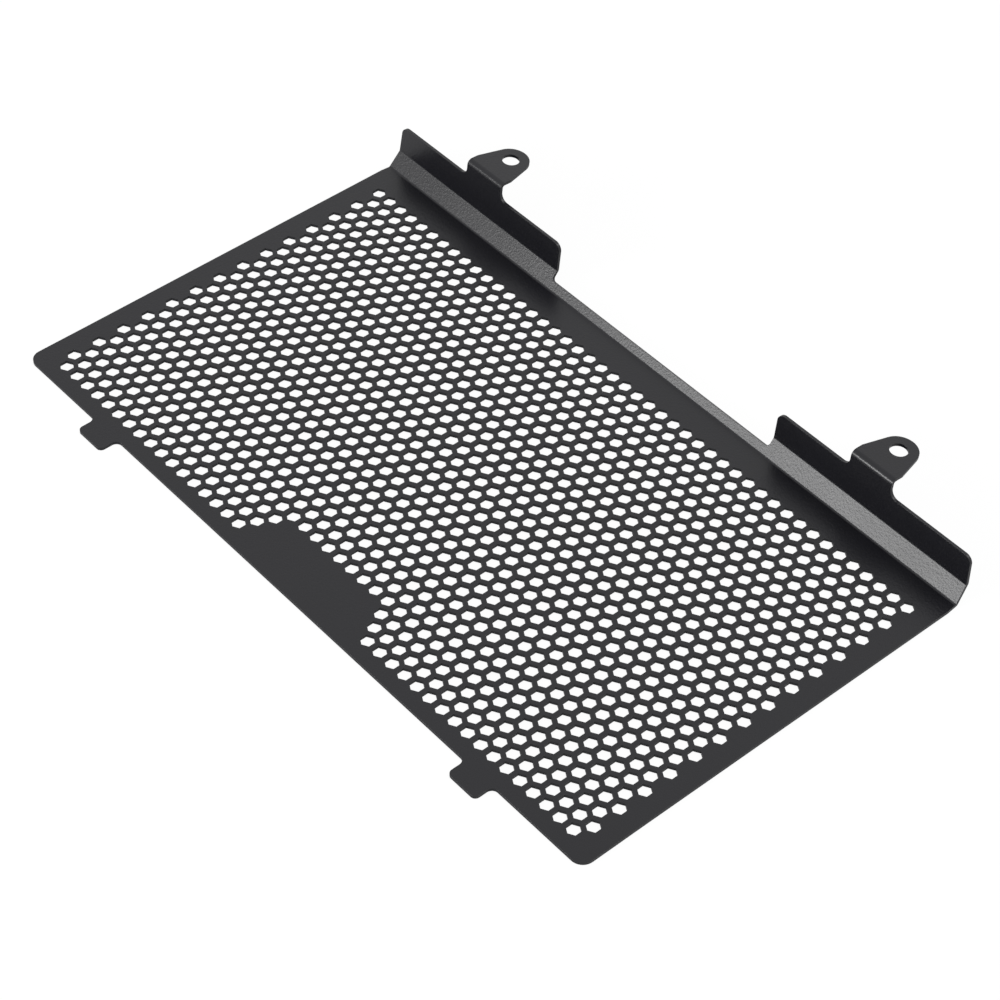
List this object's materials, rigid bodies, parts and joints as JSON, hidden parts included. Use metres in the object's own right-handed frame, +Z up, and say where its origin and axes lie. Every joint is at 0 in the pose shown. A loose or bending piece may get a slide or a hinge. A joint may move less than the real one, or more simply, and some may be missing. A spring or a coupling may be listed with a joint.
{
  "type": "motorcycle radiator guard",
  "caption": "Flat perforated metal sheet with hexagonal holes, folded up along one long edge into flanges with bolt ears, with short locating tabs on the other edge.",
  "frame": {"origin": "centre of the footprint at the underside of the panel, which is where the part lies", "axes": "+X along the long edge, +Y from the front tabs to the folded edge, +Z up, towards the side that the flanges stand on"},
  "size_m": [0.3774, 0.2572, 0.0328],
  "materials": {
    "powder_coat": "satin"
  },
  "bodies": {
    "root": {"radiator_guard": "powder_coat"}
  },
  "joints": []
}
